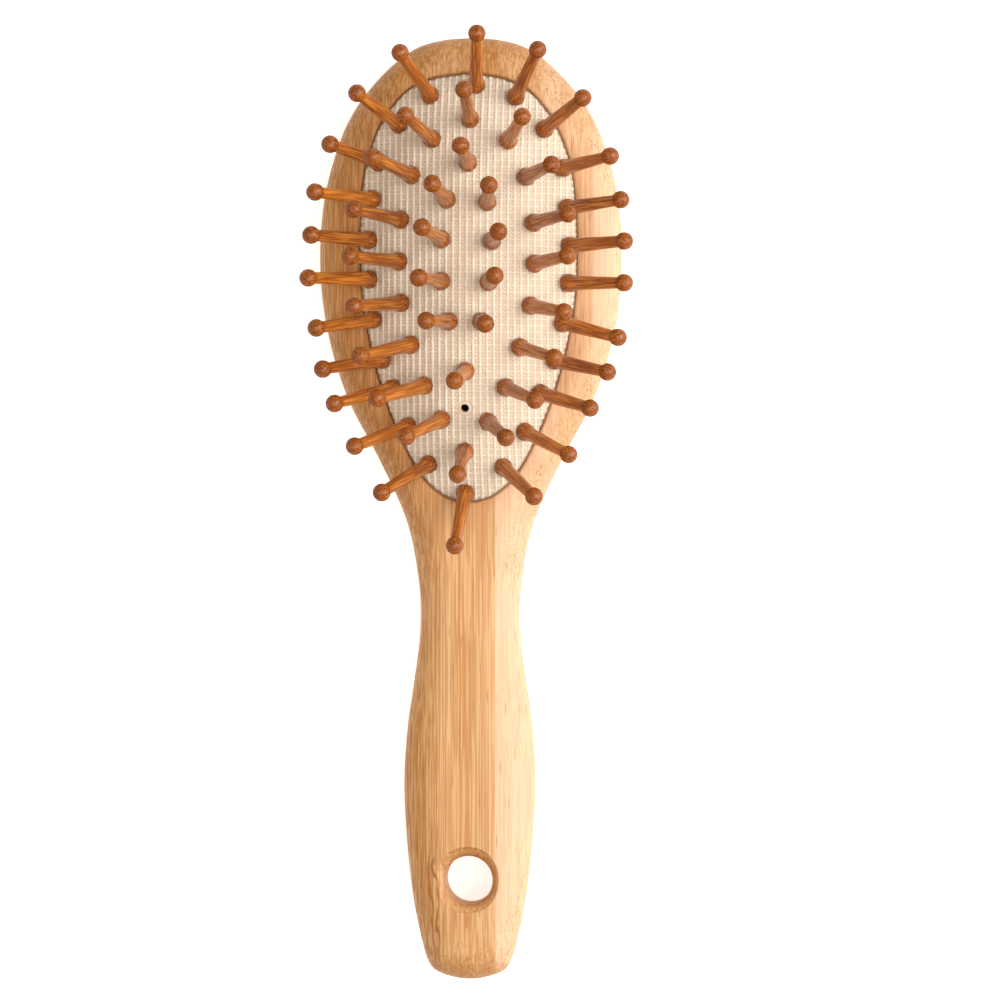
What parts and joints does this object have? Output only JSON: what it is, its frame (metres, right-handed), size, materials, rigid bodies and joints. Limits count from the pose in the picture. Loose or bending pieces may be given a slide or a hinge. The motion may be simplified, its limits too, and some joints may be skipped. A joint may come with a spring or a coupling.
{
  "type": "cushion hair brush",
  "caption": "Small wooden hair brush with an oval head, a domed air cushion, ball-tipped pins that tilt in the rubber, and a handle with a countersunk hanging hole.",
  "frame": {"origin": "on the flat back, under the middle of the head", "axes": "+Y to the top of the head, with the handle along -Y; +Z out of the cushion along the pins"},
  "size_m": [0.0644, 0.1856, 0.0421],
  "materials": {
    "pale_bamboo": "sanded and clear-lacquered, satin",
    "cream_rubber": "matt, moulded in small cells",
    "carbonised_bamboo": "turned and waxed, semi-gloss"
  },
  "bodies": {
    "brush_body": {"bamboo_body": "pale_bamboo"},
    "cushion_crown": {"air_cushion": "cream_rubber"},
    "pin_outer_01": {"pin_outer_01": "carbonised_bamboo"},
    "pin_outer_02": {"pin_outer_02": "carbonised_bamboo"},
    "pin_outer_03": {"pin_outer_03": "carbonised_bamboo"},
    "pin_outer_04": {"pin_outer_04": "carbonised_bamboo"},
    "pin_outer_05": {"pin_outer_05": "carbonised_bamboo"},
    "pin_outer_06": {"pin_outer_06": "carbonised_bamboo"},
    "pin_outer_07": {"pin_outer_07": "carbonised_bamboo"},
    "pin_outer_08": {"pin_outer_08": "carbonised_bamboo"},
    "pin_outer_09": {"pin_outer_09": "carbonised_bamboo"},
    "pin_outer_10": {"pin_outer_10": "carbonised_bamboo"},
    "pin_outer_11": {"pin_outer_11": "carbonised_bamboo"},
    "pin_outer_12": {"pin_outer_12": "carbonised_bamboo"},
    "pin_outer_13": {"pin_outer_13": "carbonised_bamboo"},
    "pin_outer_14": {"pin_outer_14": "carbonised_bamboo"},
    "pin_outer_15": {"pin_outer_15": "carbonised_bamboo"},
    "pin_outer_16": {"pin_outer_16": "carbonised_bamboo"},
    "pin_outer_17": {"pin_outer_17": "carbonised_bamboo"},
    "pin_outer_18": {"pin_outer_18": "carbonised_bamboo"},
    "pin_outer_19": {"pin_outer_19": "carbonised_bamboo"},
    "pin_outer_20": {"pin_outer_20": "carbonised_bamboo"},
    "pin_outer_21": {"pin_outer_21": "carbonised_bamboo"},
    "pin_outer_22": {"pin_outer_22": "carbonised_bamboo"},
    "pin_outer_23": {"pin_outer_23": "carbonised_bamboo"},
    "pin_outer_24": {"pin_outer_24": "carbonised_bamboo"},
    "pin_middle_01": {"pin_middle_01": "carbonised_bamboo"},
    "pin_middle_02": {"pin_middle_02": "carbonised_bamboo"},
    "pin_middle_03": {"pin_middle_03": "carbonised_bamboo"},
    "pin_middle_04": {"pin_middle_04": "carbonised_bamboo"},
    "pin_middle_05": {"pin_middle_05": "carbonised_bamboo"},
    "pin_middle_06": {"pin_middle_06": "carbonised_bamboo"},
    "pin_middle_07": {"pin_middle_07": "carbonised_bamboo"},
    "pin_middle_08": {"pin_middle_08": "carbonised_bamboo"},
    "pin_middle_09": {"pin_middle_09": "carbonised_bamboo"},
    "pin_middle_10": {"pin_middle_10": "carbonised_bamboo"},
    "pin_middle_11": {"pin_middle_11": "carbonised_bamboo"},
    "pin_middle_12": {"pin_middle_12": "carbonised_bamboo"},
    "pin_middle_13": {"pin_middle_13": "carbonised_bamboo"},
    "pin_middle_14": {"pin_middle_14": "carbonised_bamboo"},
    "pin_middle_15": {"pin_middle_15": "carbonised_bamboo"},
    "pin_middle_16": {"pin_middle_16": "carbonised_bamboo"},
    "pin_middle_17": {"pin_middle_17": "carbonised_bamboo"},
    "pin_middle_18": {"pin_middle_18": "carbonised_bamboo"},
    "pin_inner_01": {"pin_inner_01": "carbonised_bamboo"},
    "pin_inner_02": {"pin_inner_02": "carbonised_bamboo"},
    "pin_inner_03": {"pin_inner_03": "carbonised_bamboo"},
    "pin_inner_04": {"pin_inner_04": "carbonised_bamboo"},
    "pin_inner_05": {"pin_inner_05": "carbonised_bamboo"},
    "pin_inner_06": {"pin_inner_06": "carbonised_bamboo"},
    "pin_inner_07": {"pin_inner_07": "carbonised_bamboo"},
    "pin_inner_08": {"pin_inner_08": "carbonised_bamboo"},
    "pin_inner_09": {"pin_inner_09": "carbonised_bamboo"},
    "pin_inner_10": {"pin_inner_10": "carbonised_bamboo"}
  },
  "joints": [
    {"name": "cushion_press", "type": "slide", "parent": "brush_body", "child": "cushion_crown", "axis": [0, 0, -1], "range_m": [0, 0.0025], "stiffness_N_per_m": 4000, "deforming": ["air_cushion"]},
    {"name": "pin_outer_01_tilt", "type": "hinge", "parent": "brush_body", "child": "pin_outer_01", "pos_m": [0.00141, 0.03399, 0.0152], "axis": [-0.0437, 0.8568, -0.5138], "range_deg": [-10, 10], "stiffness_Nm_per_rad": 0.03},
    {"name": "pin_outer_02_tilt", "type": "hinge", "parent": "brush_body", "child": "pin_outer_02", "pos_m": [0.0087, 0.03178, 0.01519], "axis": [-0.162, 0.8843, -0.438], "range_deg": [-10, 10], "stiffness_Nm_per_rad": 0.03},
    {"name": "pin_outer_03_tilt", "type": "hinge", "parent": "brush_body", "child": "pin_outer_03", "pos_m": [0.01404, 0.02583, 0.01532], "axis": [-0.146, 0.9575, -0.2486], "range_deg": [-10, 10], "stiffness_Nm_per_rad": 0.03},
    {"name": "pin_outer_04_tilt", "type": "hinge", "parent": "brush_body", "child": "pin_outer_04", "pos_m": [0.01745, 0.01861, 0.01499], "axis": [-0.0471, 0.9968, -0.0653], "range_deg": [-10, 10], "stiffness_Nm_per_rad": 0.03},
    {"name": "pin_outer_05_tilt", "type": "hinge", "parent": "brush_body", "child": "pin_outer_05", "pos_m": [0.01826, 0.0109, 0.01517], "axis": [-0.0308, 0.9989, -0.0363], "range_deg": [-10, 10], "stiffness_Nm_per_rad": 0.03},
    {"name": "pin_outer_06_tilt", "type": "hinge", "parent": "brush_body", "child": "pin_outer_06", "pos_m": [0.01867, 0.00357, 0.01503], "axis": [-0.0109, 0.9999, -0.0123], "range_deg": [-10, 10], "stiffness_Nm_per_rad": 0.03},
    {"name": "pin_outer_07_tilt", "type": "hinge", "parent": "brush_body", "child": "pin_outer_07", "pos_m": [0.01844, -0.00359, 0.01509], "axis": [0.0198, 0.9996, 0.0218], "range_deg": [-10, 10], "stiffness_Nm_per_rad": 0.03},
    {"name": "pin_outer_08_tilt", "type": "hinge", "parent": "brush_body", "child": "pin_outer_08", "pos_m": [0.01733, -0.01111, 0.01536], "axis": [0.1276, 0.9824, 0.1365], "range_deg": [-10, 10], "stiffness_Nm_per_rad": 0.03},
    {"name": "pin_outer_09_tilt", "type": "hinge", "parent": "brush_body", "child": "pin_outer_09", "pos_m": [0.01587, -0.01845, 0.01534], "axis": [0.0988, 0.9884, 0.1155], "range_deg": [-10, 10], "stiffness_Nm_per_rad": 0.03},
    {"name": "pin_outer_10_tilt", "type": "hinge", "parent": "brush_body", "child": "pin_outer_10", "pos_m": [0.01322, -0.02482, 0.01607], "axis": [0.1132, 0.9832, 0.1432], "range_deg": [-10, 10], "stiffness_Nm_per_rad": 0.03},
    {"name": "pin_outer_11_tilt", "type": "hinge", "parent": "brush_body", "child": "pin_outer_11", "pos_m": [0.0104, -0.03219, 0.01596], "axis": [0.1487, 0.9645, 0.2184], "range_deg": [-10, 10], "stiffness_Nm_per_rad": 0.03},
    {"name": "pin_outer_12_tilt", "type": "hinge", "parent": "brush_body", "child": "pin_outer_12", "pos_m": [0.00634, -0.03898, 0.01568], "axis": [0.1438, 0.9434, 0.299], "range_deg": [-10, 10], "stiffness_Nm_per_rad": 0.03},
    {"name": "pin_outer_13_tilt", "type": "hinge", "parent": "brush_body", "child": "pin_outer_13", "pos_m": [-0.00036, -0.04349, 0.01473], "axis": [-0.0398, 0.8028, 0.5949], "range_deg": [-10, 10], "stiffness_Nm_per_rad": 0.03},
    {"name": "pin_outer_14_tilt", "type": "hinge", "parent": "brush_body", "child": "pin_outer_14", "pos_m": [-0.00673, -0.03843, 0.01574], "axis": [-0.1577, 0.9458, 0.2838], "range_deg": [-10, 10], "stiffness_Nm_per_rad": 0.03},
    {"name": "pin_outer_15_tilt", "type": "hinge", "parent": "brush_body", "child": "pin_outer_15", "pos_m": [-0.01062, -0.03118, 0.01616], "axis": [-0.1293, 0.9715, 0.1987], "range_deg": [-10, 10], "stiffness_Nm_per_rad": 0.03},
    {"name": "pin_outer_16_tilt", "type": "hinge", "parent": "brush_body", "child": "pin_outer_16", "pos_m": [-0.01348, -0.02387, 0.01609], "axis": [-0.114, 0.9818, 0.1521], "range_deg": [-10, 10], "stiffness_Nm_per_rad": 0.03},
    {"name": "pin_outer_17_tilt", "type": "hinge", "parent": "brush_body", "child": "pin_outer_17", "pos_m": [-0.01551, -0.01835, 0.01565], "axis": [-0.0793, 0.9915, 0.1027], "range_deg": [-10, 10], "stiffness_Nm_per_rad": 0.03},
    {"name": "pin_outer_18_tilt", "type": "hinge", "parent": "brush_body", "child": "pin_outer_18", "pos_m": [-0.01739, -0.01053, 0.01537], "axis": [-0.0717, 0.9922, 0.1017], "range_deg": [-10, 10], "stiffness_Nm_per_rad": 0.03},
    {"name": "pin_outer_19_tilt", "type": "hinge", "parent": "brush_body", "child": "pin_outer_19", "pos_m": [-0.01813, -0.00284, 0.01535], "axis": [-0.0125, 0.9998, 0.0158], "range_deg": [-10, 10], "stiffness_Nm_per_rad": 0.03},
    {"name": "pin_outer_20_tilt", "type": "hinge", "parent": "brush_body", "child": "pin_outer_20", "pos_m": [-0.01828, 0.00472, 0.01532], "axis": [0.0099, 0.9999, -0.0139], "range_deg": [-10, 10], "stiffness_Nm_per_rad": 0.03},
    {"name": "pin_outer_21_tilt", "type": "hinge", "parent": "brush_body", "child": "pin_outer_21", "pos_m": [-0.01758, 0.01263, 0.01555], "axis": [0.0202, 0.9994, -0.0287], "range_deg": [-10, 10], "stiffness_Nm_per_rad": 0.03},
    {"name": "pin_outer_22_tilt", "type": "hinge", "parent": "brush_body", "child": "pin_outer_22", "pos_m": [-0.01664, 0.01962, 0.01535], "axis": [0.0704, 0.9889, -0.1309], "range_deg": [-10, 10], "stiffness_Nm_per_rad": 0.03},
    {"name": "pin_outer_23_tilt", "type": "hinge", "parent": "brush_body", "child": "pin_outer_23", "pos_m": [-0.0128, 0.02677, 0.01564], "axis": [0.1201, 0.9572, -0.2635], "range_deg": [-10, 10], "stiffness_Nm_per_rad": 0.03},
    {"name": "pin_outer_24_tilt", "type": "hinge", "parent": "brush_body", "child": "pin_outer_24", "pos_m": [-0.00694, 0.03225, 0.01543], "axis": [0.1206, 0.9114, -0.3935], "range_deg": [-10, 10], "stiffness_Nm_per_rad": 0.03},
    {"name": "pin_middle_01_tilt", "type": "hinge", "parent": "cushion_crown", "child": "pin_middle_01", "pos_m": [0.00065, 0.02764, 0.01829], "axis": [-0.0009, 0.9663, -0.2573], "range_deg": [-10, 10], "stiffness_Nm_per_rad": 0.03},
    {"name": "pin_middle_02_tilt", "type": "hinge", "parent": "cushion_crown", "child": "pin_middle_02", "pos_m": [0.00773, 0.02358, 0.01857], "axis": [-0.0439, 0.9809, -0.1895], "range_deg": [-10, 10], "stiffness_Nm_per_rad": 0.03},
    {"name": "pin_middle_03_tilt", "type": "hinge", "parent": "cushion_crown", "child": "pin_middle_03", "pos_m": [0.01104, 0.01668, 0.0188], "axis": [-0.0267, 0.997, -0.0727], "range_deg": [-10, 10], "stiffness_Nm_per_rad": 0.03},
    {"name": "pin_middle_04_tilt", "type": "hinge", "parent": "cushion_crown", "child": "pin_middle_04", "pos_m": [0.01232, 0.0078, 0.01891], "axis": [-0.0222, 0.9987, -0.0454], "range_deg": [-10, 10], "stiffness_Nm_per_rad": 0.03},
    {"name": "pin_middle_05_tilt", "type": "hinge", "parent": "cushion_crown", "child": "pin_middle_05", "pos_m": [0.01257, -0.00013, 0.01888], "axis": [-0.0204, 0.9989, -0.0433], "range_deg": [-10, 10], "stiffness_Nm_per_rad": 0.03},
    {"name": "pin_middle_06_tilt", "type": "hinge", "parent": "cushion_crown", "child": "pin_middle_06", "pos_m": [0.01182, -0.00802, 0.0191], "axis": [0.0461, 0.9943, 0.0959], "range_deg": [-10, 10], "stiffness_Nm_per_rad": 0.03},
    {"name": "pin_middle_07_tilt", "type": "hinge", "parent": "cushion_crown", "child": "pin_middle_07", "pos_m": [0.00978, -0.01603, 0.01962], "axis": [0.0635, 0.9898, 0.1276], "range_deg": [-10, 10], "stiffness_Nm_per_rad": 0.03},
    {"name": "pin_middle_08_tilt", "type": "hinge", "parent": "cushion_crown", "child": "pin_middle_08", "pos_m": [0.00711, -0.02381, 0.0199], "axis": [0.0636, 0.9871, 0.1466], "range_deg": [-10, 10], "stiffness_Nm_per_rad": 0.03},
    {"name": "pin_middle_09_tilt", "type": "hinge", "parent": "cushion_crown", "child": "pin_middle_09", "pos_m": [0.00394, -0.03045, 0.01964], "axis": [0.0515, 0.9819, 0.182], "range_deg": [-10, 10], "stiffness_Nm_per_rad": 0.03},
    {"name": "pin_middle_10_tilt", "type": "hinge", "parent": "cushion_crown", "child": "pin_middle_10", "pos_m": [-0.00022, -0.0361, 0.01838], "axis": [-0.0015, 0.9647, 0.2633], "range_deg": [-10, 10], "stiffness_Nm_per_rad": 0.03},
    {"name": "pin_middle_11_tilt", "type": "hinge", "parent": "cushion_crown", "child": "pin_middle_11", "pos_m": [-0.00414, -0.02997, 0.01971], "axis": [-0.0662, 0.9789, 0.1934], "range_deg": [-10, 10], "stiffness_Nm_per_rad": 0.03},
    {"name": "pin_middle_12_tilt", "type": "hinge", "parent": "cushion_crown", "child": "pin_middle_12", "pos_m": [-0.00728, -0.02346, 0.01989], "axis": [-0.0751, 0.9865, 0.1458], "range_deg": [-10, 10], "stiffness_Nm_per_rad": 0.03},
    {"name": "pin_middle_13_tilt", "type": "hinge", "parent": "cushion_crown", "child": "pin_middle_13", "pos_m": [-0.00984, -0.01552, 0.01963], "axis": [-0.0757, 0.9883, 0.1325], "range_deg": [-10, 10], "stiffness_Nm_per_rad": 0.03},
    {"name": "pin_middle_14_tilt", "type": "hinge", "parent": "cushion_crown", "child": "pin_middle_14", "pos_m": [-0.01192, -0.00754, 0.01907], "axis": [-0.0324, 0.9974, 0.0646], "range_deg": [-10, 10], "stiffness_Nm_per_rad": 0.03},
    {"name": "pin_middle_15_tilt", "type": "hinge", "parent": "cushion_crown", "child": "pin_middle_15", "pos_m": [-0.01234, 0.00037, 0.019], "axis": [0.0071, 0.9999, -0.0134], "range_deg": [-10, 10], "stiffness_Nm_per_rad": 0.03},
    {"name": "pin_middle_16_tilt", "type": "hinge", "parent": "cushion_crown", "child": "pin_middle_16", "pos_m": [-0.01206, 0.00839, 0.01901], "axis": [0.031, 0.9976, -0.0622], "range_deg": [-10, 10], "stiffness_Nm_per_rad": 0.03},
    {"name": "pin_middle_17_tilt", "type": "hinge", "parent": "cushion_crown", "child": "pin_middle_17", "pos_m": [-0.01007, 0.01689, 0.01916], "axis": [0.0509, 0.9898, -0.1329], "range_deg": [-10, 10], "stiffness_Nm_per_rad": 0.03},
    {"name": "pin_middle_18_tilt", "type": "hinge", "parent": "cushion_crown", "child": "pin_middle_18", "pos_m": [-0.00636, 0.02385, 0.01884], "axis": [0.0441, 0.9804, -0.1919], "range_deg": [-10, 10], "stiffness_Nm_per_rad": 0.03},
    {"name": "pin_inner_01_tilt", "type": "hinge", "parent": "cushion_crown", "child": "pin_inner_01", "pos_m": [0.00044, 0.01921, 0.02062], "axis": [0.0008, 0.9921, -0.1254], "range_deg": [-10, 10], "stiffness_Nm_per_rad": 0.03},
    {"name": "pin_inner_02_tilt", "type": "hinge", "parent": "cushion_crown", "child": "pin_inner_02", "pos_m": [0.0041, 0.01159, 0.02129], "axis": [-0.0117, 0.9917, -0.1278], "range_deg": [-10, 10], "stiffness_Nm_per_rad": 0.03},
    {"name": "pin_inner_03_tilt", "type": "hinge", "parent": "cushion_crown", "child": "pin_inner_03", "pos_m": [0.00492, 0.00413, 0.02147], "axis": [-0.0079, 0.9985, -0.0537], "range_deg": [-10, 10], "stiffness_Nm_per_rad": 0.03},
    {"name": "pin_inner_04_tilt", "type": "hinge", "parent": "cushion_crown", "child": "pin_inner_04", "pos_m": [0.00436, -0.00377, 0.0216], "axis": [-0.0039, 0.9996, -0.028], "range_deg": [-10, 10], "stiffness_Nm_per_rad": 0.03},
    {"name": "pin_inner_05_tilt", "type": "hinge", "parent": "cushion_crown", "child": "pin_inner_05", "pos_m": [0.00298, -0.01127, 0.02176], "axis": [0.0072, 0.9982, 0.0602], "range_deg": [-10, 10], "stiffness_Nm_per_rad": 0.03},
    {"name": "pin_inner_06_tilt", "type": "hinge", "parent": "cushion_crown", "child": "pin_inner_06", "pos_m": [0.00018, -0.02076, 0.02158], "axis": [-0.0056, 0.9913, 0.1318], "range_deg": [-10, 10], "stiffness_Nm_per_rad": 0.03},
    {"name": "pin_inner_07_tilt", "type": "hinge", "parent": "cushion_crown", "child": "pin_inner_07", "pos_m": [-0.00283, -0.01131, 0.02178], "axis": [-0.0046, 0.9996, 0.0263], "range_deg": [-10, 10], "stiffness_Nm_per_rad": 0.03},
    {"name": "pin_inner_08_tilt", "type": "hinge", "parent": "cushion_crown", "child": "pin_inner_08", "pos_m": [-0.0043, -0.00354, 0.02161], "axis": [-0.0008, 1, 0.0047], "range_deg": [-10, 10], "stiffness_Nm_per_rad": 0.03},
    {"name": "pin_inner_09_tilt", "type": "hinge", "parent": "cushion_crown", "child": "pin_inner_09", "pos_m": [-0.00436, 0.00441, 0.02156], "axis": [0.0117, 0.9965, -0.083], "range_deg": [-10, 10], "stiffness_Nm_per_rad": 0.03},
    {"name": "pin_inner_10_tilt", "type": "hinge", "parent": "cushion_crown", "child": "pin_inner_10", "pos_m": [-0.00345, 0.01208, 0.02134], "axis": [0.0099, 0.9931, -0.1172], "range_deg": [-10, 10], "stiffness_Nm_per_rad": 0.03}
  ]
}
